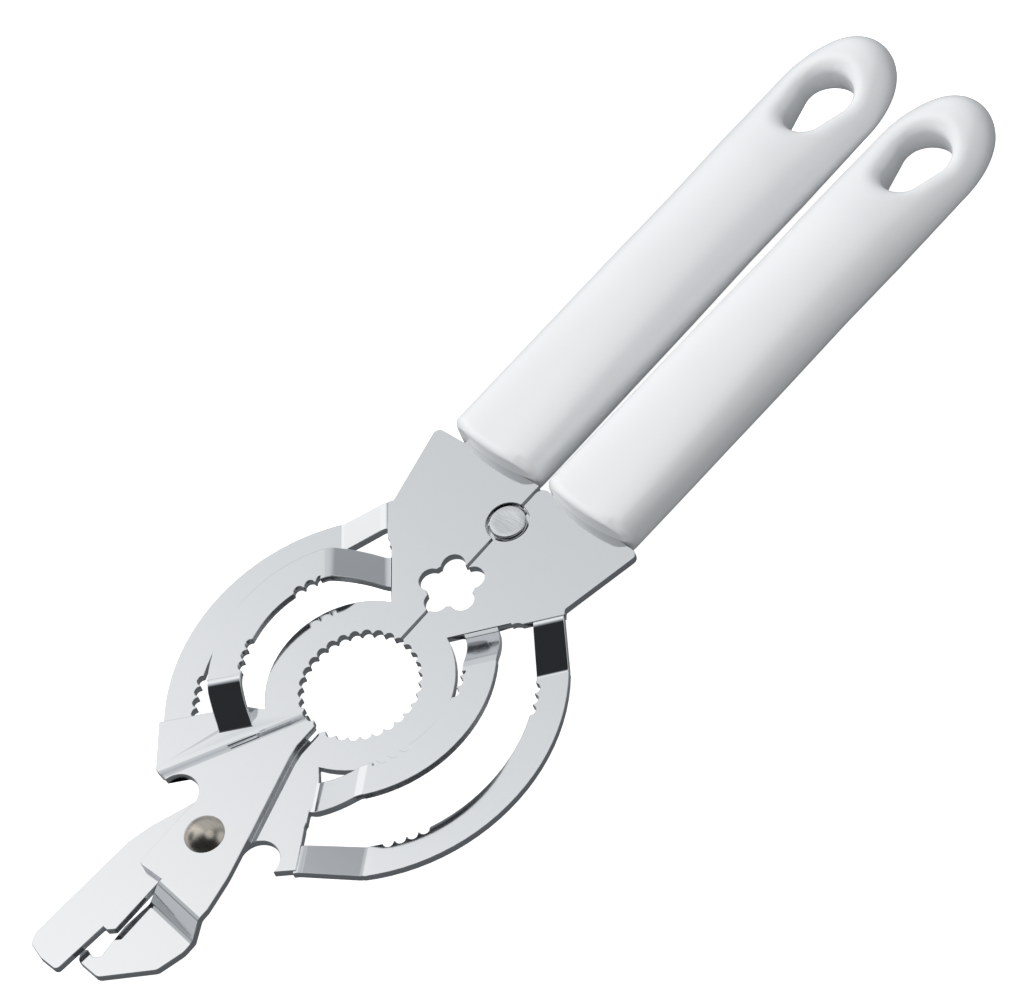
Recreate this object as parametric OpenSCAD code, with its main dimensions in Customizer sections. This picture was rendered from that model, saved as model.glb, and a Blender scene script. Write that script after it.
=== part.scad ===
// Plier-type kitchen opener: two pressed steel plates crossing at one rivet, with a toothed
// ring, raised strips and lowered outer bands for lids of several sizes, cap-lifting notches,
// a tab-gripping nose and two moulded plastic handles. Drawn closed. Millimetres.
// X runs across the tool, Y from the nose to the handles, Z up through the plates.

/* [Sheet steel] */
// Thickness of both plates
sheet = 1.5; // [1.2:0.1:2]
// Gap left between the two plates along the middle seam
seam_gap = 0.5; // [0.3:0.1:1]
// Free height between one plate's face and the other's where they cross
plate_gap = 0.06; // [0.03:0.01:0.2]

/* [Gripping ring and arcs] */
// Radius to the tooth tips of the round ring
ring_r = 9.95; // [8:0.05:13]
// Number of teeth round the ring
ring_teeth = 30; // [20:2:40]
// Outer radius of the plate around the ring
ring_plate_r = 16.4; // [14:0.1:20]
// Inner radius of the raised strip
strip_in_r = 19; // [17:0.1:24]
// Outer radius of the raised strip
strip_out_r = 24.8; // [22:0.1:30]
// Inner radius of the lowered outer band
band_in_r = 29.2; // [26:0.1:34]
// Outer radius of the tool's round body
body_r = 34.8; // [32:0.1:40]
// How far the strip is pressed up
strip_rise = 5.5; // [3:0.1:7]
// How far the outer band is pressed down
band_drop = 3.3; // [1:0.1:4]
// Teeth at each end of a strip's or band's inner edge
arc_teeth = 4; // [2:1:6]
// Radius of the scallops between teeth
scallop_r = 0.9; // [0.6:0.05:1.2]

// Inside radius of the bends in the sheet
bend_r = 1.7; // [0.6:0.1:2]

/* [Shoulders] */
// Half width of the plates at the handle end
shoulder_x = 23.3; // [20:0.1:27]
// Distance from the ring's centre to the handle end of the plates
shoulder_y = 46.2; // [42:0.1:52]
// Half width where the shoulder meets the round body
waist_x = 19.8; // [17:0.1:22]
// Distance from the ring's centre to that waist
waist_y = 30.3; // [27:0.1:33]

/* [Flower opening] */
// Distance from the ring's centre to the five-lobed opening
flower_y = 23.2; // [20:0.1:27]
// Radius of the circle through the lobes' centres
flower_pitch_r = 3.75; // [3:0.05:5]
// Radius of one lobe
lobe_r = 2.1; // [1.5:0.05:2.5]

/* [Locating stud] */
// Distance from the ring's centre to the stud
stud_y = 37.8; // [35:0.1:41]
// Radius of the stud's head
stud_r = 3.2; // [2:0.05:3.5]
// Radius of the round seat shared by both plates
seat_r = 3.8; // [3:0.05:4.5]

/* [Pivot] */
// Sideways place of the rivet from the seam
pivot_x = -2; // [-4:0.1:0]
// Distance of the rivet below the ring's centre
pivot_y = -36.4; // [-40:0.1:-33]
// Radius of the rivet's shank
shank_r = 2; // [1.5:0.05:2.5]
// Running clearance of the upper plate round the shank, on the radius
pivot_clearance = 0.05; // [0.02:0.01:0.1]
// Radius of the rivet's domed head
rivet_head_r = 3.5; // [3:0.05:4.5]
// Height of the dome
rivet_dome = 1.5; // [1:0.1:2.5]

/* [Cap lifters and nose] */
// Radius of both cap-lifting notches
notch_r = 3.65; // [3:0.05:5]
// Sideways distance from the rivet to each notch's centre
notch_x = 9.9; // [8:0.1:12]
// Distance from the ring's centre to the tip of the straight jaw
nose_y = 69; // [60:0.5:75]
// Free height between the hook's face and the straight jaw above it
hook_gap = 0.3; // [0.2:0.05:0.6]

/* [Handles] */
// Distance from the ring's centre to the far end of the handles
handle_end_y = 146.8; // [130:0.2:160]
// Half width of a handle at the plates
grip_r = 9.4; // [8:0.1:11]
// Half width of a handle at its rounded end
grip_end_r = 10.1; // [9:0.1:12]
// Length of the rounded end of a handle
grip_end_run = 15; // [11:0.5:18]
// Thickness of a handle as a share of its width
grip_flatness = 0.62; // [0.45:0.01:0.75]
// Half thickness of a handle beside its hanging eye
grip_tip_half = 4.7; // [4:0.1:5.5]
// Sideways distance from the seam to a handle's middle, at the plates
grip_x = 10.9; // [10:0.1:13]
// Angle by which both handles are set to the same side, degrees
handle_lean = 1.4; // [0:0.1:3]
// Angle by which the handles open away from each other towards the end, degrees
handle_flare = 0.3; // [0:0.1:1]
// Radius of the hanging eye at its wide end
eye_r = 4.9; // [4:0.1:6]
// Radius of the hanging eye at its narrow end
eye_small_r = 3.7; // [3:0.1:5]
// Length of the steel tang inside each handle
tang_length = 62; // [40:1:70]
// Width of the tang at its root
tang_width = 12; // [9:0.5:14]

/* [Hidden] */
$fn = 96;
eps = 0.01;
far = 200;
upper_z = sheet + plate_gap;
hook_z = -hook_gap - sheet;
ring_mid_r = ring_r - 0.2;
slot_r = (strip_out_r + band_in_r) / 2;
ramp_inset = 0.08;
ramp_skin = 0.02;
ramp_lap = 0.5;

handle_start_y = shoulder_y + 0.4;
grip_length = handle_end_y - handle_start_y;
grip_z = sheet / 2;
grip_half = grip_end_r * grip_flatness;
grip_start_half = grip_r * 0.54;
grip_rim = 1.1;
grip_bow = 1.3;
grip_facets = 36;

// Centre of the whole length, and height of the plates' lower face above the handles' lowest face
tip_y = handle_start_y + grip_length * cos(handle_lean - handle_flare)
    + grip_x * sin(handle_lean - handle_flare);
mid_y = (tip_y - nose_y) / 2;
base_z = grip_half * cos(180 / grip_facets) - grip_z;

// The bend lines: angle of the line, then how far along the tangent the bend starts and ends.
top_strip = [48, -4.1, 4.3];
top_band = [48, -3.9, 3.9];
upper_low_strip = [46, -1.7, 3.1];
upper_low_band = [46, 0.4, 6.6];
lower_low_strip = [58, -5.6, 3.5];
lower_low_band = [58, -5.4, 4];

// The joggle's bend line: its angle, a point on it, its run and how far its upper edges sit back.
joggle_a = 59;
joggle_x = -10.2;
joggle_y = -20.7;
joggle_run = 1.5;
joggle_cut = 0.4;

// The nose bend: the turn of its line and where it starts and ends.
nose_bend = [-7, -47.4, -49.9];

steel_colour = [0.82, 0.84, 0.86];
nickel_colour = [0.6, 0.56, 0.5];
plastic_colour = [0.93, 0.93, 0.92];

// ---- small helpers ----

function unit(v) = v / norm(v);

// Corner q of a path from p to s, rounded with radius r in five short steps.
function corner(p, q, s, r) =
    let (a = unit(p - q), b = unit(s - q), half = acos(a * b) / 2,
         c = q + unit(a + b) * r / sin(half),
         u = q + a * r / tan(half) - c, w = q + b * r / tan(half) - c,
         start = atan2(u.y, u.x),
         turn = atan2(u.x * w.y - u.y * w.x, u * w))
    [for (i = [0:5]) c + r * [cos(start + turn * i / 5), sin(start + turn * i / 5)]];

// A closed path of [x, y, corner radius] entries.
function rounded(path) =
    let (n = len(path), at = function(i) [path[(i + n) % n].x, path[(i + n) % n].y])
    [for (i = [0:n - 1]) each path[i][2] > 0
        ? corner(at(i - 1), at(i), at(i + 1), path[i][2]) : [at(i)]];

// Everything before the line at `offset` along the tangent of a bend at `angle`.
module before(angle, offset) {
    rotate(angle) translate([-far, offset - far]) square([2 * far, far]);
}

module annulus(inner, outer) {
    difference() {
        circle(r = outer);
        circle(r = inner);
    }
}

// Length along the tangent that a bend's round takes on the sheet's outer face.
function round_run(bend, level) =
    (bend_r + sheet) * tan(atan(abs(level) / (bend[2] - bend[1])) / 2);

// The part of an annulus on the right, between a top bend and a mirrored low bend. Step 1 is
// the level arc before the bends' rounds, step 2 the window that also holds the slopes.
module arc_zone(inner, outer, top, low, step, level) {
    side = step == 1 ? -1 : 1;
    intersection() {
        annulus(inner, outer);
        before(top[0], top[step] + side * round_run(top, level));
        mirror([0, 1]) before(low[0], low[step] + side * round_run(low, level));
        translate([0, -far]) square([far, 2 * far]);
    }
}

module scallops(radius, first) {
    pitch = 2 * scallop_r + 0.3;
    for (side = [-1, 1], i = [0:arc_teeth - 1])
        rotate(side * (first - i * pitch * 180 / PI / radius))
            translate([radius - 0.1, 0]) circle(r = scallop_r, $fn = 48);
}

// ---- one half of the pressed plates, drawn on the right ----

module ring_hole() {
    circle(r = ring_r);
    for (i = [0:ring_teeth - 1])
        rotate((i + 0.5) * 360 / ring_teeth)
            translate([ring_mid_r, 0]) circle(r = scallop_r, $fn = 48);
}

module flower_hole() {
    translate([0, flower_y]) {
        circle(r = flower_pitch_r + 0.45);
        for (i = [0:4])
            rotate(270 + i * 72) translate([flower_pitch_r, 0]) circle(r = lobe_r);
    }
}

// The flat half plate without the pivot arm: shoulders, ring, flower and seat. A child is
// joined to it before its openings are cut.
module wing(low_strip, low_band, corner_r) {
    difference() {
        union() {
            intersection() {
                circle(r = body_r);
                translate([seam_gap / 2, -far]) square([far, 2 * far]);
            }
            polygon(rounded([[seam_gap / 2, 0, 0], [24, 0, 0], [24.3, 24.3, 0], [waist_x, waist_y, 0],
                             [shoulder_x, shoulder_y - 0.8, 1.2],
                             [seam_gap / 2, shoulder_y, corner_r]]));
            children();
        }
        ring_hole();
        flower_hole();
        translate([0, stud_y]) circle(r = seat_r);
        // windows in which the strip and the band are pressed out of level
        arc_zone(ring_plate_r, slot_r, top_strip, low_strip, 2, strip_rise);
        arc_zone(slot_r - eps, far, top_band, low_band, 2, band_drop);
        for (end = [[top_strip, top_band, 1], [low_strip, low_band, -1]])
            mirror([0, end[2] < 0 ? 1 : 0]) rotate(end[0][0]) {
                translate([ring_plate_r + 1.3, end[0][2] - 0.5]) circle(r = 1.4);
                translate([slot_r + 0.2, min(end[0][2], end[1][2]) - 0.6]) circle(r = 1.7);
            }
    }
}

// A sloping piece that joins an arc at `level` to the plate at zero. The sheet keeps its
// thickness through both rounded bends and laps a little into the arc and into the plate. A
// strip's slope follows its arc and a band's runs straight on from it.
module ramp(inner, outer, bend, level) {
    y0 = bend[1];
    y1 = bend[2];
    xi = sqrt(inner * inner - y0 * y0) + ramp_inset;
    xo = sqrt(outer * outer - y0 * y0) - ramp_inset;
    mitre = sheet * tan(atan(level / (y1 - y0)) / 2);
    run = round_run(bend, level);
    start = y0 - run - ramp_lap;
    end = y1 + run + ramp_lap;
    hump = level > 0;
    over = bend_r + sheet - ramp_skin;
    under = bend_r + ramp_skin;
    rotate([0, 0, bend[0]]) intersection() {
        translate([0, 0, -far / 2]) linear_extrude(far) {
            if (hump)
                intersection() {
                    annulus(inner + ramp_inset, outer - ramp_inset);
                    translate([0, start]) square([far, end - start]);
                }
            else
                polygon([for (p = [[xi, start], [xo, start], [xo, end], [xi, end]])
                    [p.x - y0 / p.x * (p.y - y0), p.y]]);
        }
        translate([xi - 5, 0, 0]) rotate([90, 0, 90]) linear_extrude(xo - xi + 15)
            polygon(rounded([[start, level + ramp_skin, 0],
                             [y0 - mitre / 2, level + ramp_skin, hump ? under : over],
                             [y1 - mitre / 2, ramp_skin, hump ? over : under],
                             [end, ramp_skin, 0],
                             [end, sheet - ramp_skin, 0],
                             [y1 + mitre / 2, sheet - ramp_skin, hump ? under : over],
                             [y0 + mitre / 2, level + sheet - ramp_skin, hump ? over : under],
                             [start, level + sheet - ramp_skin, 0]]));
    }
}

// A strip or band: the level arc with teeth near its ends, and a ramp at each end.
module pressed_arc(inner, outer, level, top, low, first_tooth) {
    translate([0, 0, level]) linear_extrude(sheet) difference() {
        arc_zone(inner, outer, top, low, 1, level);
        scallops(inner, first_tooth);
    }
    ramp(inner, outer, top, level);
    mirror([0, 1, 0]) ramp(inner, outer, low, level);
}

module pressed_arcs(low_strip, low_band) {
    pressed_arc(strip_in_r, strip_out_r, strip_rise, top_strip, low_strip, 38);
    pressed_arc(band_in_r, body_r, -band_drop, top_band, low_band, 40);
}

// ---- handles' own frames ----

// side is -1 for the left handle and 1 for the right one.
module in_grip(side) {
    translate([0, handle_start_y, 0])
        rotate([0, 0, -handle_lean - side * handle_flare])
            translate([side * grip_x, 0, 0]) children();
}

module tang(side) {
    in_grip(side) difference() {
        polygon(rounded([[-tang_width / 2, -3, 0], [tang_width / 2, -3, 0],
                         [tang_width / 2 - 2, tang_length, 2], [2 - tang_width / 2, tang_length, 2]]));
        for (y = [0.35, 0.75]) translate([0, y * tang_length]) circle(r = 2.4);
    }
}

// ---- sheet steel parts ----

// The lip that lifts caps, beside the right notch.
module lower_lip() {
    lip_x = notch_x + pivot_x + notch_r + 0.4;
    polygon([[8, -20], [24, -25], [lip_x, pivot_y + 1.7], [8, pivot_y + 1.7]]);
}

// The arm that passes under the other plate and ends in the straight jaw.
module lower_arm() {
    polygon(rounded([[seam_gap / 2 + 2, -13, 0], [-1.2, -12.6, 0.5], [-8.6, pivot_y + 4.1, 3],
                     [-11.9, pivot_y - 3.7, 6], [-13.1, -44.5, 4], [-14.6, 3.3 - nose_y, 1.5],
                     [-13.8, 1.2 - nose_y, 1.2], [-10.5, 0.2 - nose_y, 1], [-6.6, -nose_y, 0.8],
                     [-5.5, -58.5, 0], [-4.5, -58.6, 0.3], [-3.4, -57.7, 0.3], [-3.3, -46.4, 1],
                     [3, -43, 3], [5.2, pivot_y + 1.5, 0], [9, -31, 0], [9, -20, 0]]));
}

module lower_plate() {
    color(steel_colour) {
        difference() {
            linear_extrude(sheet) difference() {
                union() {
                    wing(lower_low_strip, lower_low_band, 1.5) lower_lip();
                    tang(1);
                    lower_arm();
                }
                ring_hole();
                translate([pivot_x + notch_x + 0.3, pivot_y + 1.9]) circle(r = notch_r);
                translate([pivot_x + notch_x - notch_r + 1.2, pivot_y - 8])
                    square([2 * notch_r - 1.6, 9.9]);
            }
            translate([pivot_x, pivot_y, -eps]) cylinder(r = shank_r, h = sheet + 2 * eps);
        }
        pressed_arcs(lower_low_strip, lower_low_band);
    }
}

// The upper plate's sheet in profile: it steps up over the other plate at the joggle.
module joggled_sheet() {
    translate([joggle_x, joggle_y, 0]) rotate([0, 0, joggle_a - 90]) rotate([90, 0, 180])
        translate([0, 0, -far]) linear_extrude(2 * far) mirror([1, 0])
            polygon([[-far, 0], [0, 0], [joggle_run, upper_z], [far, upper_z],
                     [far, upper_z + sheet], [joggle_run - joggle_cut, upper_z + sheet],
                     [-joggle_cut, sheet], [-far, sheet]]);
}

// The hook's sheet in profile: from above the other plate down to just under its jaw.
module nose_sheet() {
    top = nose_bend[1];
    low = nose_bend[2];
    rotate([0, 0, nose_bend[0]]) rotate([90, 0, 90]) translate([0, 0, -far]) linear_extrude(2 * far)
        polygon([[-far, hook_z], [low, hook_z], [top + 0.5, upper_z], [far, upper_z],
                 [far, upper_z + sheet], [top, upper_z + sheet], [low - 0.5, hook_z + sheet],
                 [-far, hook_z + sheet]]);
}

module upper_pivot_outline() {
    difference() {
        polygon(rounded([[-3, -9, 0], [-1.2, -10.4, 0], [0.2, -17.4, 0], [4.4, -31.4, 20],
                         [7, -40.3, 20], [8.2, -46.6, 0], [-2.3, -46.6, 0], [-2.3, -46.7, 0],
                         [-7.8, -46.7, 0.9], [-7.8, pivot_y + 2.4, 0],
                         [-18.6, -31.6, 0.8], [-24.5, -24.5, 0], [-14, -14, 0]]));
        ring_hole();
    }
}

// The left cap-lifting notch, open towards the nose.
module left_notch() {
    translate([pivot_x - notch_x + 0.7, pivot_y + 3.1]) circle(r = notch_r);
    translate([-far - 7.75, -far + pivot_y + 2.9]) square([far, far]);
}

module hook_outline() {
    polygon(rounded([[-2.3, -46.6, 0], [-2.9, -50, 0], [-3.6, -56, 0], [-3.1, -62.4, 0.8],
                     [-4.2, -63.3, 0.5], [-5.8, -62.7, 0.3], [-7, -63.4, 0.4], [-5.7, -65.2, 1],
                     [-0.9, -65.6, 1.5], [6.7, -58.9, 1.5], [8.2, -54, 4], [8.2, -46.6, 0]]));
}

module upper_plate() {
    color(steel_colour) {
        difference() {
            union() {
                intersection() {
                    translate([0, 0, -eps]) linear_extrude(upper_z + sheet + 1) difference() {
                        union() {
                            mirror([1, 0]) wing(upper_low_strip, upper_low_band, 0);
                            upper_pivot_outline();
                        }
                        left_notch();
                    }
                    joggled_sheet();
                }
                intersection() {
                    translate([0, 0, -far / 2]) linear_extrude(far) hook_outline();
                    nose_sheet();
                }
                linear_extrude(sheet) tang(-1);
            }
            translate([pivot_x, pivot_y, 0]) cylinder(r = shank_r + pivot_clearance, h = 10);
        }
        mirror([1, 0, 0]) pressed_arcs(upper_low_strip, upper_low_band);
    }
}

// ---- pins ----

module pivot_rivet() {
    sphere_r = (rivet_head_r * rivet_head_r + rivet_dome * rivet_dome) / (2 * rivet_dome);
    top = upper_z + sheet + plate_gap;
    color(nickel_colour) translate([pivot_x, pivot_y, 0]) {
        translate([0, 0, -eps]) cylinder(r = shank_r, h = top + 2 * eps);
        intersection() {
            translate([0, 0, top + rivet_dome - sphere_r]) sphere(r = sphere_r);
            translate([0, 0, top]) cylinder(r = rivet_head_r, h = rivet_dome + 1);
        }
        translate([0, 0, -0.9]) cylinder(r1 = 2.6, r2 = 3.1, h = 0.9);
    }
}

module stop_stud() {
    color(steel_colour) translate([0, stud_y, 0]) {
        translate([0, 0, sheet - 0.9]) cylinder(r = stud_r, h = 1.1);
        translate([0, 0, -1.2]) cylinder(r = 1.5, h = sheet + 1.2);
    }
}

// A short steel tongue under the lower plate that carries the stud across the seam.
module stop_tongue() {
    color(steel_colour) difference() {
        translate([0, stud_y, 0]) rotate([90, 0, 0]) translate([0, 0, -4]) linear_extrude(8)
            polygon([[-3.5, -1.2], [13, -1.2], [13, 0], [seat_r + 0.6, 0],
                     [seat_r + 0.4, -0.2], [-3.5, -0.2]]);
        translate([0, stud_y, -2]) cylinder(r = 1.5, h = 3);
    }
}

// ---- handles ----

// Half width of a handle, and its half thickness, at distance y from the plates.
function grip_w(y) =
    lookup(y, [[0, grip_r], [0.5 * grip_length, grip_r + 0.3], [grip_length - grip_end_run, grip_end_r]])
    * sqrt(1 - pow(max(0, y - grip_length + grip_end_run) / grip_end_run, 2));
function grip_h(y) =
    lookup(y, [[0, grip_start_half], [0.4 * grip_length, grip_half], [0.68 * grip_length, grip_half],
               [grip_length - grip_end_run, grip_tip_half]])
    * sqrt(1 - pow(max(0, y - grip_length + grip_tip_half) / grip_tip_half, 2));

// Stations along a handle as [distance, inset]: a rounded rim, the body, the rounded tip.
grip_stations = concat(
    [for (a = [0:30:90]) [grip_rim * (1 - cos(a)), grip_rim * (1 - sin(a))]],
    [for (t = [0.12:0.11:0.78]) [t * grip_length, 0]],
    [for (a = [0:12:84]) [grip_length - grip_end_run * (1 - sin(a)), 0]]);

// One ring of points; squareness falls from a flat-faced section at the plates to an ellipse.
function grip_ring(y, inset) =
    let (w = grip_w(y) - inset, h = grip_h(y) - inset,
         e = 2 / lookup(y, [[0, 3.4], [0.25 * grip_length, 2.6], [0.55 * grip_length, 2]]))
    [for (i = [0:grip_facets - 1])
        let (c = cos((i + 0.5) * 360 / grip_facets), n = sin((i + 0.5) * 360 / grip_facets),
             x = w * sign(c) * pow(abs(c), e))
        [x, y - (y < 2 ? grip_bow * (1 - x * x / (grip_r * grip_r)) : 0),
         h * sign(n) * pow(abs(n), e)]];

module grip_body() {
    rings = len(grip_stations);
    points = concat([for (s = grip_stations) each grip_ring(s[0], s[1])],
                    [[0, -grip_bow, 0], [0, grip_length - 0.02, 0]]);
    n = grip_facets;
    sides = [for (r = [0:rings - 2], i = [0:n - 1])
        let (j = (i + 1) % n, a = r * n, b = a + n)
        each [[a + i, a + j, b + j], [a + i, b + j, b + i]]];
    ends = [for (i = [0:n - 1]) let (j = (i + 1) % n, last = (rings - 1) * n)
        each [[rings * n, j, i], [rings * n + 1, last + i, last + j]]];
    translate([0, 0, grip_z]) polyhedron(points, concat(sides, ends), convexity = 4);
}

module eye_outline() {
    rise = 5.4;
    a = asin((eye_r - eye_small_r) / rise);
    circle(r = eye_r);
    translate([0, -rise]) circle(r = eye_small_r);
    polygon([[eye_r * cos(a), -eye_r * sin(a)], [-eye_r * cos(a), -eye_r * sin(a)],
             [-eye_small_r * cos(a), -rise - eye_small_r * sin(a)],
             [eye_small_r * cos(a), -rise - eye_small_r * sin(a)]]);
}

// The handle is moulded round the tang and laps a little over the end of the plate.
module handle(side) {
    eye_y = grip_length - 14.2;
    color(plastic_colour) difference() {
        in_grip(side) difference() {
            grip_body();
            translate([0, eye_y, -far / 2]) linear_extrude(far) eye_outline();
        }
        linear_extrude(sheet) tang(side);
        linear_extrude(sheet) mirror([side < 0 ? 1 : 0, 0])
            polygon([[0, waist_y], [shoulder_x, waist_y], [shoulder_x, shoulder_y - 0.8],
                     [seam_gap / 2, shoulder_y]]);
    }
}

// Puts the ring-centred drawing on its lowest face, centred along its length.
module placed() {
    translate([0, -mid_y, base_z]) children();
}

placed() upper_plate();
placed() lower_plate();
placed() pivot_rivet();
placed() stop_stud();
placed() stop_tongue();
placed() handle(-1);  // left_handle
placed() handle(1);  // right_handle
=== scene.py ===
"""Finishes and studio for a plier-type kitchen opener: two bright pressed-steel plates, a
domed rivet, a flush stud and two moulded white grips. It is laid out as a Blender add-on
with one operator for each group of pieces, and runs them in order round the fixed frame."""
import math

import bmesh
import bpy
import numpy as np
from mathutils import Matrix, Vector


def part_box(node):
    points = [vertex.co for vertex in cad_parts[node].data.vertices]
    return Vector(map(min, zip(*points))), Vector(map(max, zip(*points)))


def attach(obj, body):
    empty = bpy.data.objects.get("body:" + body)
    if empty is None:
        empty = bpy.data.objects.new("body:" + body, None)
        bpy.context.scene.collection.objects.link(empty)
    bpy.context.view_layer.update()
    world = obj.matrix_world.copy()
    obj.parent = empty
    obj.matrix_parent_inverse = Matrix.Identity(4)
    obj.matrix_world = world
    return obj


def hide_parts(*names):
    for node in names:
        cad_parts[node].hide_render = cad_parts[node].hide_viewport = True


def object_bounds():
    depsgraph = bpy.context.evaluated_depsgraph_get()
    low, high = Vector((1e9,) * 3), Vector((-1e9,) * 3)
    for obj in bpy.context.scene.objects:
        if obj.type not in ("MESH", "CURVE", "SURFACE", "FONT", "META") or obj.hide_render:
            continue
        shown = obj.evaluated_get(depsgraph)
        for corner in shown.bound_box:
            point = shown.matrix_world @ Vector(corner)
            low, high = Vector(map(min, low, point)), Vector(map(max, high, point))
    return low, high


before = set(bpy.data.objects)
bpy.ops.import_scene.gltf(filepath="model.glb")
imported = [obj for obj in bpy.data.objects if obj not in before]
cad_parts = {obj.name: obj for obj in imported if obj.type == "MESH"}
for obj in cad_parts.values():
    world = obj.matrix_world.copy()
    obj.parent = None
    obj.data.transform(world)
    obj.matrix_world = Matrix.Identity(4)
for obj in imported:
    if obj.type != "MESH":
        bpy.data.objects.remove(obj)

bl_info = {
    "name": "Plier Opener",
    "version": (1, 0, 0),
    "blender": (4, 5, 0),
    "location": "3D View > Sidebar > Opener",
    "description": "Builds the steel, pins and grips of a plier-type opener and a studio for it",
    "category": "Object",
}

MM = 0.001
CAD_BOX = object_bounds()
RIVET_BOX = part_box("pivot_rivet")
STUD_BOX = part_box("stop_stud")

# Plates: points this close are one, and faces this nearly parallel are one face.
WELD = 0.002 * MM
FLAT_ANGLE = math.radians(0.6)
# An edge between two faces that both look well up or down is a bend; with an upright face
# beside it, it is a sheared edge.
BEND_UPRIGHT = 0.3
BEND_ANGLE = math.radians(20)
SHEARED_ANGLE = math.radians(32)
SHARP_ANGLE = math.radians(30)
# Slivers get no round. Broad or level faces give their normals to the rounds beside them.
THIN_FACE = 0.04 * MM
BROAD_FACE = 4 * MM * MM
LEVEL_NORMAL = 0.99999
SAME_SURFACE = math.cos(math.radians(36))

# Turned pins: radii and heights of their profiles.
ON_AXIS = 1e-9
TURNED_SHARP = math.radians(35)
RIVET_DOME = 1.5 * MM
RIVET_SHANK = 2.0 * MM
RIVET_TAIL = 3.1 * MM
RIVET_TAIL_HEIGHT = 0.9 * MM
STUD_SHANK = 1.5 * MM
STUD_HEAD_HEIGHT = 1.1 * MM
STUD_EDGE = 0.3 * MM

# Grips: Y of their start and of the frame's origin, both measured in the part's source, and
# how much thinner and shorter they are than the plain CAD grips.
SHOULDER_Y = 46.6 * MM
ORIGIN_Y = 38.9954 * MM
MOULD_SHRINK = 0.99
LENGTH_SHRINK = 0.03 * MM

# Studio. Left, right, near and far are the tool's own: -X, +X, -Y and +Y.
LAMP_DISTANCE = 1.6
KEY_SIDE = (-0.70, -0.20, 0.68)
KEY_SIZE = 1.4
FILL_SIDE = (0.55, -0.62, 0.56)
FILL_SIZE = 1.6
FLOOR_HALF = 3.0
FLOOR_DROP = 0.0003
FLOOR_GLOW = 0.85
BOX_SIDE = (-0.86, 0.50, 0.10)
STRIPE_SIDE = (-0.82, -0.35, 0.45)
GLOW_SIDE = (0.62, 0.66, 0.42)
CROWN_SIDE = (0.10, 0.27, 0.957)
SENSOR_WIDTH = 36.0
CLIP = (0.05, 20.0)


# ---------------------------------------------------------------- sizes and colours

class OpenerSteel(bpy.types.PropertyGroup):
    """Sizes and colours of the plates and pins."""
    edge_break: bpy.props.FloatProperty(
        name="Edge break", description="Width of the small round on every sheared edge",
        default=0.13 * MM, unit="LENGTH")
    bend_round: bpy.props.FloatProperty(
        name="Bend round", description="Width of the round along a bend in the sheet",
        default=0.6 * MM, unit="LENGTH")
    tint: bpy.props.FloatVectorProperty(
        name="Steel", description="Colour of the bright plating", subtype="COLOR", size=3,
        default=(0.80, 0.815, 0.83))
    ripple: bpy.props.FloatProperty(
        name="Ripple", description="Depth of the faint waves left by pressing and polishing",
        default=0.012 * MM, unit="LENGTH")
    rivet_tint: bpy.props.FloatVectorProperty(
        name="Rivet", description="Colour of the nickel rivet", subtype="COLOR", size=3,
        default=(0.60, 0.55, 0.48))
    stud_tint: bpy.props.FloatVectorProperty(
        name="Stud", description="Colour of the stud's head", subtype="COLOR", size=3,
        default=(0.76, 0.775, 0.79))


class OpenerGrips(bpy.types.PropertyGroup):
    """Sizes and colours of the moulded grips."""
    lean: bpy.props.FloatProperty(
        name="Lean", description="Angle by which both grips are set to the same side",
        default=math.radians(1.4), unit="ROTATION")
    flare: bpy.props.FloatProperty(
        name="Flare", description="Angle by which the grips part towards their ends",
        default=math.radians(0.3), unit="ROTATION")
    offset: bpy.props.FloatProperty(
        name="Offset", description="Distance from the seam to a grip's middle at the plates",
        default=10.9 * MM, unit="LENGTH")
    root_half: bpy.props.FloatProperty(
        name="Root half width", description="Half width of a grip at the plates",
        default=9.4 * MM, unit="LENGTH")
    end_half: bpy.props.FloatProperty(
        name="End half width", description="Half width of a grip at its round end",
        default=10.1 * MM, unit="LENGTH")
    end_run: bpy.props.FloatProperty(
        name="End length", description="Length of the rounded end of a grip",
        default=15.0 * MM, unit="LENGTH")
    length: bpy.props.FloatProperty(
        name="Length", description="Length of a grip", default=100.2 * MM, unit="LENGTH")
    flatness: bpy.props.FloatProperty(
        name="Flatness", description="Thickness of a grip as a share of its width", default=0.62)
    tip_half: bpy.props.FloatProperty(
        name="Tip half thickness", description="Half thickness of a grip beside its eye",
        default=4.7 * MM, unit="LENGTH")
    eye_half: bpy.props.FloatProperty(
        name="Eye half width", description="Half width of the hanging eye at its wide end",
        default=4.9 * MM, unit="LENGTH")
    eye_rim: bpy.props.FloatProperty(
        name="Eye rim", description="Radius of the round along the rim of the eye",
        default=3.0 * MM, unit="LENGTH")
    tint: bpy.props.FloatVectorProperty(
        name="Plastic", description="Colour of the moulded grips", subtype="COLOR", size=3,
        default=(0.82, 0.83, 0.84))


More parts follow.
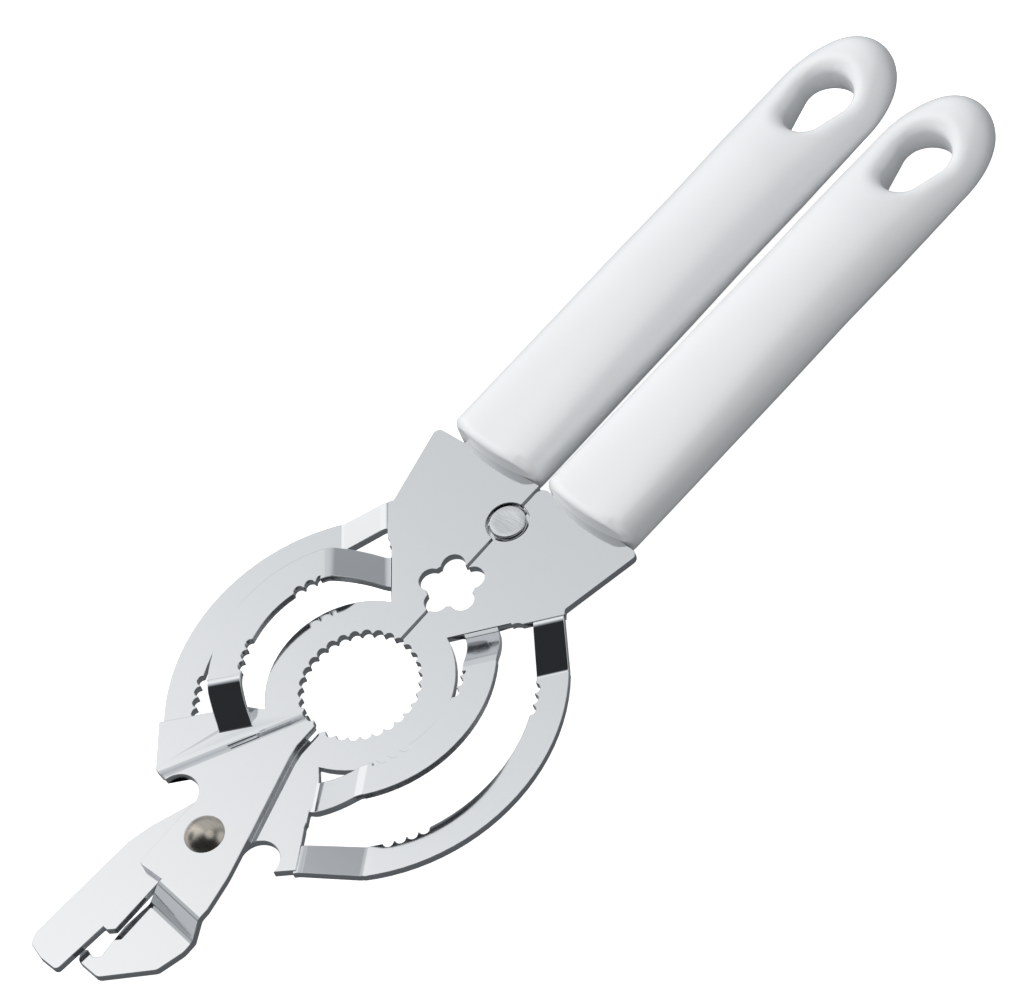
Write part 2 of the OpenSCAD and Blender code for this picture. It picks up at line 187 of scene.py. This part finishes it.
class OpenerStage(bpy.types.PropertyGroup):
    """The studio: camera, floor and surroundings."""
    camera_azimuth: bpy.props.FloatProperty(
        name="Azimuth", description="Direction of the camera from the tool, seen from above",
        default=math.radians(-27.91), unit="ROTATION")
    camera_elevation: bpy.props.FloatProperty(
        name="Elevation", description="Height of the camera above the horizon",
        default=math.radians(54.26), unit="ROTATION")
    camera_roll: bpy.props.FloatProperty(
        name="Roll", description="Turn of the camera about its own axis",
        default=math.radians(-24.57), unit="ROTATION")
    camera_distance: bpy.props.FloatProperty(
        name="Distance", description="Distance from the camera to its target",
        default=1.2321, unit="LENGTH")
    camera_target: bpy.props.FloatVectorProperty(
        name="Target", description="Point that the camera looks at", subtype="TRANSLATION",
        size=3, default=(0.0038, -0.00096, 0.0159))
    lens: bpy.props.FloatProperty(
        name="Lens", description="Focal length in millimetres on a 36 mm sensor", default=261.6)
    floor_tint: bpy.props.FloatVectorProperty(
        name="Floor", description="Colour of the floor", subtype="COLOR", size=3,
        default=(0.93, 0.93, 0.93))
    brightness: bpy.props.FloatProperty(
        name="Brightness", description="Strength of the light round the tool", default=1.0)
    key_power: bpy.props.FloatProperty(
        name="Key power", description="Power of the soft lamp above the left side, in watts",
        default=19.0)
    fill_power: bpy.props.FloatProperty(
        name="Fill power", description="Power of the soft lamp on the near right, in watts",
        default=10.0)


# ---------------------------------------------------------------- shader expressions

class Value:
    """A shader socket. Used in an expression, it adds the Math nodes for it."""

    def __init__(self, graph, socket):
        self.graph = graph
        self.socket = socket

    def _math(self, operation, first, second):
        return self.graph.node("ShaderNodeMath", {0: first, 1: second}, operation=operation)

    def __add__(self, other):
        return self._math("ADD", self, other)

    def __radd__(self, other):
        return self._math("ADD", other, self)

    def __sub__(self, other):
        return self._math("SUBTRACT", self, other)

    def __rsub__(self, other):
        return self._math("SUBTRACT", other, self)

    def __mul__(self, other):
        return self._math("MULTIPLY", self, other)

    def __rmul__(self, other):
        return self._math("MULTIPLY", other, self)

    def __truediv__(self, other):
        return self._math("DIVIDE", self, other)

    def __rtruediv__(self, other):
        return self._math("DIVIDE", other, self)

    def __pow__(self, other):
        return self._math("POWER", self, other)

    def __abs__(self):
        return self._math("ABSOLUTE", self, 0.0)


class Graph:
    """A node tree that is filled through one method."""

    def __init__(self, tree):
        self.tree = tree
        tree.nodes.clear()

    def node(self, kind, inputs=None, out=0, **settings):
        """Adds a node: its settings first, then the values or links of its sockets."""
        made = self.tree.nodes.new(kind)
        for name, value in settings.items():
            setattr(made, name, value)
        for name, value in (inputs or {}).items():
            if isinstance(value, Value):
                self.tree.links.new(value.socket, made.inputs[name])
            else:
                made.inputs[name].default_value = value
        return Value(self, made.outputs[out]) if made.outputs else made

    def smooth(self, value, low, high, first=0.0, last=1.0):
        """first below low, last above high, and a smooth step between them."""
        return self.node("ShaderNodeMapRange", {0: value, 1: low, 2: high, 3: first, 4: last},
                         interpolation_type="SMOOTHSTEP")

    def noise(self, where, scale, detail=2.0, roughness=0.5):
        return self.node("ShaderNodeTexNoise", {"Vector": where, "Scale": scale,
                                                "Detail": detail, "Roughness": roughness})

    def stretched(self, where, scale, turn=(0.0, 0.0, 0.0)):
        return self.node("ShaderNodeMapping", {"Vector": where, "Scale": scale, "Rotation": turn})

    def blend(self, factor, first, second):
        """A colour from first to second as factor goes from 0 to 1."""
        made = self.tree.nodes.new("ShaderNodeMix")
        made.data_type = "RGBA"
        sockets = (made.inputs[0], made.inputs[6], made.inputs[7])
        for socket, value in zip(sockets, (factor, first, second)):
            if isinstance(value, Value):
                self.tree.links.new(value.socket, socket)
            else:
                socket.default_value = value if isinstance(value, float) else (*value, 1.0)
        return Value(self, made.outputs[2])

    def bump(self, height, distance, strength=1.0):
        return self.node("ShaderNodeBump", {"Height": height, "Distance": distance,
                                            "Strength": strength})

    def dot(self, vector, direction):
        return self.node("ShaderNodeVectorMath", {0: vector, 1: direction}, out="Value",
                         operation="DOT_PRODUCT")


def finish(name, build):
    """A material whose surface shader is made by build(graph, where)."""
    material = bpy.data.materials.new(name)
    material.use_nodes = True
    graph = Graph(material.node_tree)
    where = graph.node("ShaderNodeTexCoord", out="Object")
    surface = build(graph, where)
    graph.node("ShaderNodeOutputMaterial", {"Surface": surface})
    return material


def shade(tint, factor):
    return tuple(channel * factor for channel in tint)


def bright_steel(steel):
    """Plated pressed steel: a mirror with faint waves, and duller sheared edges."""
    def build(graph, where):
        normal = graph.node("ShaderNodeNewGeometry", out="Normal")
        upright = graph.node("ShaderNodeSeparateXYZ", {0: normal}, out="Z")
        edge = graph.smooth(abs(upright), 0.25, 0.5, 1.0, 0.0)
        waves = graph.noise(where, 70.0, 1.0)
        haze = graph.noise(where, 240.0, 3.0)
        grain = graph.noise(graph.stretched(where, (900.0, 900.0, 60.0)), 1.0, 2.0)
        rough = 0.045 + 0.05 * haze + edge * (0.10 + 0.15 * grain)
        colour = graph.blend(edge * 0.6, steel.tint, shade(steel.tint, 0.86))
        height = waves * (1.0 - edge) + grain * edge * 0.3
        return graph.node("ShaderNodeBsdfPrincipled", {
            "Base Color": colour, "Metallic": 1.0, "Roughness": rough,
            "Normal": graph.bump(height, steel.ripple, 0.6)})
    return finish("bright_steel", build)


def brushed_metal(name, tint, roughness, turn):
    """A pin's head with fine parallel polishing lines."""
    def build(graph, where):
        along = graph.stretched(where, (300.0, 9000.0, 300.0), (0.0, 0.0, turn))
        lines = graph.noise(along, 1.0, 3.0)
        cloud = graph.noise(where, 500.0, 2.0)
        colour = graph.blend(graph.smooth(lines, 0.35, 0.65), shade(tint, 0.82), tint)
        return graph.node("ShaderNodeBsdfPrincipled", {
            "Base Color": colour, "Metallic": 1.0,
            "Roughness": roughness + 0.12 * cloud + 0.08 * lines,
            "Normal": graph.bump(lines, 0.004 * MM, 0.5)})
    return finish(name, build)


def moulded_plastic(grips):
    """Glossy white moulded plastic with a faint unevenness and a barely visible skin texture."""
    def build(graph, where):
        flow = graph.noise(graph.stretched(where, (60.0, 22.0, 60.0)), 1.0, 2.0)
        skin = graph.noise(where, 2600.0, 2.0)
        sink = graph.noise(where, 45.0, 1.0)
        colour = graph.blend(graph.smooth(flow, 0.3, 0.7), shade(grips.tint, 0.975), grips.tint)
        return graph.node("ShaderNodeBsdfPrincipled", {
            "Base Color": colour, "Roughness": 0.17 + 0.07 * flow + 0.03 * skin,
            "IOR": 1.49, "Coat Weight": 0.25, "Coat Roughness": 0.06,
            "Normal": graph.bump(skin * 0.08 + sink, 0.05 * MM, 0.35)})
    return finish("moulded_plastic", build)


# ---------------------------------------------------------------- mesh helpers

def piece(name, mesh, body, slot, material, *nodes):
    """Puts a finished mesh in the scene as the piece that stands for those CAD nodes."""
    made = bpy.data.objects.new(name, mesh)
    bpy.context.scene.collection.objects.link(made)
    mesh.materials.clear()
    mesh.materials.append(material)
    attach(made, body)
    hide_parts(*nodes)
    return made


def baked_mesh(source):
    """The object's mesh with its modifiers applied; the object itself is removed."""
    graph = bpy.context.evaluated_depsgraph_get()
    mesh = bpy.data.meshes.new_from_object(source.evaluated_get(graph))
    bpy.data.objects.remove(source)
    return mesh


def edge_weight(edge, small):
    """How much of the bend round an edge gets: all at a bend, a little at a sheared edge."""
    if len(edge.link_faces) != 2:
        return 0.0
    widths = [2 * face.calc_area() / face.calc_perimeter() for face in edge.link_faces]
    if min(widths) < THIN_FACE:
        return 0.0
    angle = edge.calc_face_angle(0.0)
    upright = min(abs(face.normal.z) for face in edge.link_faces)
    if upright > BEND_UPRIGHT and angle > BEND_ANGLE:
        return 1.0
    return small if angle > SHEARED_ANGLE else 0.0


def broken_edges(node, steel):
    """The CAD node's mesh with a small round along every sharp edge."""
    work = bmesh.new()
    work.from_mesh(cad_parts[node].data)
    bmesh.ops.remove_doubles(work, verts=work.verts, dist=WELD)
    bmesh.ops.dissolve_limit(work, angle_limit=FLAT_ANGLE, verts=work.verts, edges=work.edges)
    work.normal_update()
    layer = work.edges.layers.float.new("bevel_weight_edge")
    for edge in work.edges:
        edge[layer] = edge_weight(edge, steel.edge_break / steel.bend_round)
        edge.smooth = edge[layer] > 0 or edge.calc_face_angle(0.0) < SHARP_ANGLE
    mesh = bpy.data.meshes.new(node + "_work")
    work.to_mesh(mesh)
    work.free()
    source = bpy.data.objects.new(node + "_work", mesh)
    bpy.context.scene.collection.objects.link(source)
    bevel = source.modifiers.new("round", "BEVEL")
    bevel.width = steel.bend_round
    bevel.segments = 3
    bevel.limit_method = "WEIGHT"
    bevel.use_clamp_overlap = False
    bevel.face_strength_mode = "FSTR_AFFECTED"
    level = source.modifiers.new("level", "WEIGHTED_NORMAL")
    level.keep_sharp = True
    level.weight = 100
    level.use_face_influence = True
    for polygon in mesh.polygons:
        polygon.use_smooth = True
    bpy.context.view_layer.update()
    made = baked_mesh(source)
    settle_normals(made)
    return made


def settle_normals(mesh):
    """Broad and level faces shade dead flat, and the rounds beside them start from their slope."""
    normals = [corner.vector.copy() for corner in mesh.corner_normals]
    broad = {}
    for face in mesh.polygons:
        if face.area > BROAD_FACE or abs(face.normal.z) > LEVEL_NORMAL:
            for corner in face.vertices:
                broad.setdefault(corner, []).append(face.normal.copy())
    for face in mesh.polygons:
        for corner, vertex in zip(face.loop_indices, face.vertices):
            near = max(broad.get(vertex, ()), key=face.normal.dot, default=None)
            if near and near.dot(face.normal) > SAME_SURFACE:
                normals[corner] = near
    mesh.normals_split_custom_set(normals)


def lathe(name, profile, centre, segments=96):
    """A solid of revolution about Z from (radius, height) points, first and last on the axis."""
    work = bmesh.new()
    rings = []
    for radius, height in profile:
        if radius < ON_AXIS:
            rings.append([work.verts.new(Vector((0, 0, height)) + centre)])
            continue
        angles = [2 * math.pi * i / segments for i in range(segments)]
        points = [Vector((radius * math.cos(a), radius * math.sin(a), height)) for a in angles]
        rings.append([work.verts.new(point + centre) for point in points])
    for low, high in zip(rings, rings[1:]):
        for i in range(segments):
            j = (i + 1) % segments
            corners = [low[i % len(low)], low[j % len(low)],
                       high[j % len(high)], high[i % len(high)]]
            work.faces.new(list(dict.fromkeys(corners)))
    bmesh.ops.recalc_face_normals(work, faces=work.faces)
    mesh = bpy.data.meshes.new(name)
    work.to_mesh(mesh)
    work.free()
    mesh.shade_smooth()
    mesh.set_sharp_from_angle(angle=TURNED_SHARP)
    return mesh


def arc(centre, radius, start, end, steps):
    """(radius, height) points along a round of a profile, angles in degrees from outward."""
    angles = [math.radians(start + (end - start) * i / steps) for i in range(steps + 1)]
    return [(centre[0] + radius * math.cos(a), centre[1] + radius * math.sin(a)) for a in angles]


# ---------------------------------------------------------------- grips

class GripShape:
    """The smooth form of one grip: x across, y along from the plates, z up from its middle."""

    SWELL = 0.3 * MM            # how much wider the middle is than the start
    BOW = 1.3 * MM              # how far the start bulges over the plates
    START_RIM = 1.1 * MM        # round along the rim at the start
    START_FLATNESS = 0.54       # half thickness at the start as a share of its half width
    FULLEST = (0.4, 0.68)       # shares of the length between which it is thickest
    SQUARE_AT = (0, 0.25, 0.55)
    SQUARENESS = (3.4, 2.6, 2.0)
    EYE_SMALL_SHARE = 0.755     # narrow end of the eye as a share of its wide end
    EYE_RUN = 5.4 * MM          # between the middles of the eye's two ends
    EYE_FROM_END = 14.2 * MM
    ALMOST = 0.9995             # keeps the round end from closing to no width
    SLOPE_STEP = 0.02 * MM
    LEAST_SLOPE = 0.05
    LONGEST_MOVE = 0.5 * MM

    def __init__(self, grips):
        self.length = grips.length - LENGTH_SHRINK
        self.root = grips.root_half
        self.end = grips.end_half
        self.end_run = grips.end_run
        self.half = grips.end_half * grips.flatness * MOULD_SHRINK
        self.tip_half = grips.tip_half
        self.eye = grips.eye_half
        self.eye_small = grips.eye_half * self.EYE_SMALL_SHARE
        self.eye_run = self.EYE_RUN
        self.eye_y = grips.length - self.EYE_FROM_END
        self.rim = grips.eye_rim

    def width(self, y):
        run = self.length
        base = np.interp(y, [0, 0.5 * run, run - self.end_run],
                         [self.root, self.root + self.SWELL, self.end])
        over = np.clip((y - run + self.end_run) / self.end_run, 0, self.ALMOST)
        return base * np.sqrt(1 - over ** 2)

    def height(self, y):
        run = self.length
        first, last = self.FULLEST
        base = np.interp(y, [0, first * run, last * run, run - self.end_run],
                         [self.root * self.START_FLATNESS, self.half, self.half, self.tip_half])
        over = np.clip((y - run + self.tip_half) / self.tip_half, 0, self.ALMOST)
        return base * np.sqrt(1 - over ** 2)

    def squareness(self, y):
        """Exponent of the section: 2 is an oval, more has squarer shoulders."""
        return np.interp(y, [share * self.length for share in self.SQUARE_AT], self.SQUARENESS)

    def body(self, p):
        """Roughly the distance outside the plain grip, without its eye."""
        x, y, z = p.T
        w, h, n = self.width(y), self.height(y), self.squareness(y)
        level = ((np.abs(x) / w) ** n + (np.abs(z) / h) ** n) ** (1 / n)
        radial = np.hypot(x, z) * (1 - 1 / np.maximum(level, 1e-6))
        start = -(y + self.BOW * (1 - (x / self.root) ** 2))
        return round_max(radial, start, self.START_RIM)

    def hole(self, p):
        """Distance outside the eye's outline, negative inside it."""
        x = np.abs(p[:, 0])
        y = p[:, 1] - self.eye_y + self.eye_run
        slope = (self.eye_small - self.eye) / self.eye_run
        along = math.sqrt(1 - slope * slope)
        k = -slope * x + along * y
        low = np.hypot(x, y) - self.eye_small
        high = np.hypot(x, y - self.eye_run) - self.eye
        side = x * along + y * slope - self.eye_small
        return np.where(k < 0, low, np.where(k > along * self.eye_run, high, side))

    def field(self, p):
        return round_max(self.body(p), -self.hole(p), self.rim)

    def settle(self, p, rounds=8):
        """Moves points onto the smooth form, along its slope."""
        step = self.SLOPE_STEP
        most = self.LONGEST_MOVE
        for _ in range(rounds):
            value = self.field(p)
            slope = np.stack([self.field(p + step * axis) - self.field(p - step * axis)
                              for axis in np.eye(3)], axis=1) / (2 * step)
            size = np.maximum((slope ** 2).sum(1), self.LEAST_SLOPE)
            move = value / size
            p = p - slope * np.clip(move, -most, most)[:, None]
        return p


def round_max(a, b, radius):
    """The larger of two distances, with a round of that radius where they meet."""
    u = np.maximum(a + radius, 0)
    v = np.maximum(b + radius, 0)
    return np.minimum(np.maximum(a, b), -radius) + np.hypot(u, v)


def skin(work, low, high):
    """Side faces between two rings with the same number of points."""
    for i in range(len(low)):
        j = (i + 1) % len(low)
        work.faces.new([low[i], low[j], high[j], high[i]])


def loose_object(name, work):
    """An object made of the bmesh, to be used up by a later step."""
    bmesh.ops.recalc_face_normals(work, faces=work.faces)
    mesh = bpy.data.meshes.new(name)
    work.to_mesh(mesh)
    work.free()
    made = bpy.data.objects.new(name, mesh)
    bpy.context.scene.collection.objects.link(made)
    return made


def rough_tube(shape, rows=90, around=64):
    """A closed oval tube, about as wide and thick as the grip."""
    work = bmesh.new()
    rings = []
    for y in np.linspace(-shape.BOW, shape.length - 0.02 * MM, rows):
        place = np.array([max(y, 0)])
        w, h = shape.width(place)[0], shape.height(place)[0]
        rings.append([work.verts.new((w * math.cos(a), y, h * math.sin(a)))
                      for a in np.linspace(0, 2 * math.pi, around, endpoint=False)])
    for low, high in zip(rings, rings[1:]):
        skin(work, low, high)
    work.faces.new(rings[0])
    work.faces.new(rings[-1])
    return loose_object("grip_work", work)


def eye_cutter(shape, around=48, reach=12 * MM):
    """A prism with the outline of the hanging eye: a wide round end and a narrow one."""
    work = bmesh.new()
    outline = []
    for i in range(around):
        a = 2 * math.pi * i / around
        radius, centre = ((shape.eye, shape.eye_y) if math.sin(a) > -0.2
                          else (shape.eye_small, shape.eye_y - shape.eye_run))
        outline.append((radius * math.cos(a), centre + radius * math.sin(a)))
    low = [work.verts.new((x, y, -reach)) for x, y in outline]
    high = [work.verts.new((x, y, reach)) for x, y in outline]
    work.faces.new(low)
    work.faces.new(high)
    skin(work, low, high)
    return loose_object("eye_work", work)


def rough_grip(shape, face_size=0.5 * MM):
    """The tube with the eye cut through, evened out to small faces."""
    tube = rough_tube(shape)
    cutter = eye_cutter(shape)
    through = tube.modifiers.new("eye", "BOOLEAN")
    through.operation = "DIFFERENCE"
    through.solver = "EXACT"
    through.object = cutter
    even = tube.modifiers.new("even", "REMESH")
    even.mode = "VOXEL"
    even.voxel_size = face_size
    bpy.context.view_layer.update()
    made = baked_mesh(tube)
    bpy.data.objects.remove(cutter)
    return made


def grip_mesh(name, side, grips):
    """One grip's smooth mesh in place; side is -1 for the left grip and 1 for the right."""
    shape = GripShape(grips)
    mesh = rough_grip(shape)
    mesh.name = name
    points = np.empty(len(mesh.vertices) * 3)
    mesh.vertices.foreach_get("co", points)
    points = shape.settle(points.reshape(-1, 3))
    mesh.vertices.foreach_set("co", points.ravel())
    turn = Matrix.Rotation(-grips.lean - side * grips.flare, 4, "Z")
    low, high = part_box("left_handle" if side < 0 else "right_handle")
    seat = Vector((0, SHOULDER_Y - ORIGIN_Y, (low.z + high.z) / 2))
    aside = Matrix.Translation((side * grips.offset, 0, 0))
    mesh.transform(Matrix.Translation(seat) @ turn @ aside)
    mesh.update()
    mesh.shade_smooth()
    return mesh


# ---------------------------------------------------------------- operators

class OPENER_OT_plates(bpy.types.Operator):
    """Bright pressed-steel plates and tongue with rounded sheared edges"""
    bl_idname = "opener.plates"
    bl_label = "Plates"

    def execute(self, context):
        steel = context.scene.opener_steel
        metal = bright_steel(steel)
        for node, body in (("upper_plate", "left_half"), ("lower_plate", "right_half"),
                           ("stop_tongue", "right_half")):
            piece(node + "_steel", broken_edges(node, steel), body, "mirror_steel", metal, node)
        return {"FINISHED"}


class OPENER_OT_pins(bpy.types.Operator):
    """Domed pivot rivet and flush stud"""
    bl_idname = "opener.pins"
    bl_label = "Pins"

    def execute(self, context):
        steel = context.scene.opener_steel
        nickel = brushed_metal("nickel", steel.rivet_tint, 0.16, math.radians(35))
        piece("rivet", self.rivet(), "right_half", "nickel_rivet", nickel, "pivot_rivet")
        satin = brushed_metal("satin_steel", steel.stud_tint, 0.1, math.radians(-20))
        piece("stud", self.stud(), "right_half", "stud_steel", satin, "stop_stud")
        return {"FINISHED"}

    def rivet(self):
        """Upset tail, shank and a domed head that is the cap of a ball."""
        low, high = RIVET_BOX
        head = (high.x - low.x) / 2
        centre = Vector(((low.x + high.x) / 2, (low.y + high.y) / 2, 0))
        ball = (head * head + RIVET_DOME * RIVET_DOME) / (2 * RIVET_DOME)
        cap = [(ball * math.sin(a), high.z - ball + ball * math.cos(a))
               for a in np.linspace(math.asin(head / ball), 0, 14)]
        back = low.z
        tail_top = back + RIVET_TAIL_HEIGHT
        under_head = high.z - RIVET_DOME - 0.01 * MM
        profile = [(0, back), (RIVET_TAIL - 0.7 * MM, back),
                   (RIVET_TAIL - 0.5 * MM, back + 0.05 * MM),
                   (RIVET_TAIL - 0.05 * MM, back + 0.78 * MM), (RIVET_TAIL, tail_top),
                   (RIVET_SHANK, tail_top), (RIVET_SHANK, under_head),
                   (head - 0.08 * MM, under_head)]
        return lathe("rivet", profile + cap, centre)

    def stud(self):
        """A shank under a flat head with a round edge and a faintly dished top."""
        low, high = STUD_BOX
        head = (high.x - low.x) / 2
        centre = Vector(((low.x + high.x) / 2, (low.y + high.y) / 2, 0))
        under_head = high.z - STUD_HEAD_HEIGHT
        shank = [(0, low.z), (STUD_SHANK - 0.1 * MM, low.z), (STUD_SHANK, low.z + 0.1 * MM),
                 (STUD_SHANK, under_head), (head - 0.1 * MM, under_head)]
        edge = arc((head - STUD_EDGE, high.z - STUD_EDGE), STUD_EDGE, 0, 90, 6)
        dish = [(head * 0.6, high.z - 0.04 * MM), (head * 0.3, high.z - 0.06 * MM),
                (0, high.z - 0.07 * MM)]
        return lathe("stud", shank + edge + dish, centre)


class OPENER_OT_grips(bpy.types.Operator):
    """Two moulded white grips with rounded hanging eyes"""
    bl_idname = "opener.grips"
    bl_label = "Grips"

    def execute(self, context):
        grips = context.scene.opener_grips
        plastic = moulded_plastic(grips)
        for side, node, body in ((-1, "left_handle", "left_half"),
                                 (1, "right_handle", "right_half")):
            name = node.replace("handle", "grip")
            piece(name, grip_mesh(name, side, grips), body, "white_plastic", plastic, node)
        return {"FINISHED"}


class OPENER_OT_stage(bpy.types.Operator):
    """Pale floor, soft surroundings and the camera"""
    bl_idname = "opener.stage"
    bl_label = "Stage"

    def execute(self, context):
        stage = context.scene.opener_stage
        self.floor(context, stage)
        self.surroundings(context, stage)
        self.lamp(context, "key", KEY_SIDE, KEY_SIZE, stage.key_power)
        self.lamp(context, "fill", FILL_SIDE, FILL_SIZE, stage.fill_power)
        self.camera(context, stage)
        return {"FINISHED"}

    def floor(self, context, stage):
        mesh = bpy.data.meshes.new("floor")
        half = FLOOR_HALF
        level = CAD_BOX[0].z - FLOOR_DROP
        mesh.from_pydata([(-half, -half, level), (half, -half, level), (half, half, level),
                          (-half, half, level)], [], [(0, 1, 2, 3)])
        ground = bpy.data.objects.new("floor", mesh)
        context.scene.collection.objects.link(ground)

        def build(graph, where):
            return graph.node("ShaderNodeBsdfPrincipled", {
                "Base Color": (*stage.floor_tint, 1.0), "Roughness": 0.9,
                "Emission Color": (1.0, 1.0, 1.0, 1.0), "Emission Strength": FLOOR_GLOW})
        mesh.materials.append(finish("pale_floor", build))
        ground.visible_glossy = False
        ground.visible_diffuse = False

    def surroundings(self, context, stage):
        """A soft dome: a large bright box on the far left with a dark stripe beside it, a glow
        on the far right, a pale horizon, a round light overhead and a faint one from below.
        The rest is dark."""
        world = bpy.data.worlds.new("studio")
        world.use_nodes = True
        context.scene.world = world
        graph = Graph(world.node_tree)
        toward = graph.node("ShaderNodeTexCoord", out="Generated")
        box_near = graph.dot(toward, BOX_SIDE)
        height = graph.dot(toward, (0.0, 0.0, 1.0))
        box = graph.smooth(box_near, 0.12, 0.60)
        level = graph.smooth(height, -0.25, 0.30, 0.32, 1.0)
        under = graph.smooth(height, -0.30, -0.75) * 0.11
        fade = graph.smooth(graph.dot(toward, (0.0, 1.0, 0.0)), 0.17, 0.30, 1.06, 0.68)
        glow = graph.smooth(graph.dot(toward, GLOW_SIDE), 0.86, 0.97) * 0.8
        stripe = graph.smooth(graph.dot(toward, STRIPE_SIDE), 0.955, 0.985, 1.0, 0.15)
        horizon = graph.smooth(abs(height - 0.12), 0.10, 0.24, 0.55, 0.0)
        crown = graph.smooth(graph.dot(toward, CROWN_SIDE), 0.945, 0.975) * 0.8
        soft = box * level * fade * stripe
        larger = graph.node("ShaderNodeMath", {0: soft + glow, 1: horizon}, operation="MAXIMUM")
        light = larger + crown + under + 0.03
        background = graph.node("ShaderNodeBackground", {
            "Color": graph.blend(light, (0.86, 0.93, 1.0), (1.0, 1.0, 1.0)),
            "Strength": light * stage.brightness})
        graph.node("ShaderNodeOutputWorld", {"Surface": background})

    def lamp(self, context, name, toward, size, power):
        """A large soft lamp, far off. It lights the grips, and the steel doesn't mirror it."""
        data = bpy.data.lights.new(name, "AREA")
        data.shape = "DISK"
        data.size = size
        data.energy = power
        lamp = bpy.data.objects.new(name, data)
        context.scene.collection.objects.link(lamp)
        away = Vector(toward).normalized()
        aim = away.to_track_quat("Z", "Y").to_matrix().to_4x4()
        lamp.matrix_world = Matrix.Translation(away * LAMP_DISTANCE) @ aim
        lamp.visible_glossy = False

    def camera(self, context, stage):
        data = bpy.data.cameras.new("camera")
        data.lens = stage.lens
        data.sensor_width = SENSOR_WIDTH
        data.clip_start, data.clip_end = CLIP
        eye = bpy.data.objects.new("camera", data)
        context.scene.collection.objects.link(eye)
        flat = math.cos(stage.camera_elevation)
        back = Vector((flat * math.cos(stage.camera_azimuth),
                       flat * math.sin(stage.camera_azimuth), math.sin(stage.camera_elevation)))
        aim = back.to_track_quat("Z", "Y").to_matrix().to_4x4()
        seat = Matrix.Translation(Vector(stage.camera_target) + back * stage.camera_distance)
        eye.matrix_world = seat @ aim @ Matrix.Rotation(stage.camera_roll, 4, "Z")
        context.scene.camera = eye


class OPENER_PT_panel(bpy.types.Panel):
    """Lists the steps that build the opener"""
    bl_idname = "OPENER_PT_panel"
    bl_label = "Plier Opener"
    bl_space_type = "VIEW_3D"
    bl_region_type = "UI"
    bl_category = "Opener"

    def draw(self, context):
        for operator in STEPS:
            self.layout.operator(operator.bl_idname)


STEPS = (OPENER_OT_plates, OPENER_OT_pins, OPENER_OT_grips, OPENER_OT_stage)
GROUPS = {"opener_steel": OpenerSteel, "opener_grips": OpenerGrips, "opener_stage": OpenerStage}


def register():
    for cls in (*GROUPS.values(), *STEPS, OPENER_PT_panel):
        bpy.utils.register_class(cls)
    for name, cls in GROUPS.items():
        setattr(bpy.types.Scene, name, bpy.props.PointerProperty(type=cls))


def unregister():
    for name in GROUPS:
        delattr(bpy.types.Scene, name)
    for cls in (OPENER_PT_panel, *STEPS, *GROUPS.values()):
        bpy.utils.unregister_class(cls)


def main():
    register()
    bpy.context.scene.view_settings.view_transform = "Standard"
    bpy.ops.opener.plates()
    bpy.ops.opener.pins()
    bpy.ops.opener.grips()
    bpy.ops.opener.stage()
    bpy.context.view_layer.update()


if __name__ == "__main__":
    main()
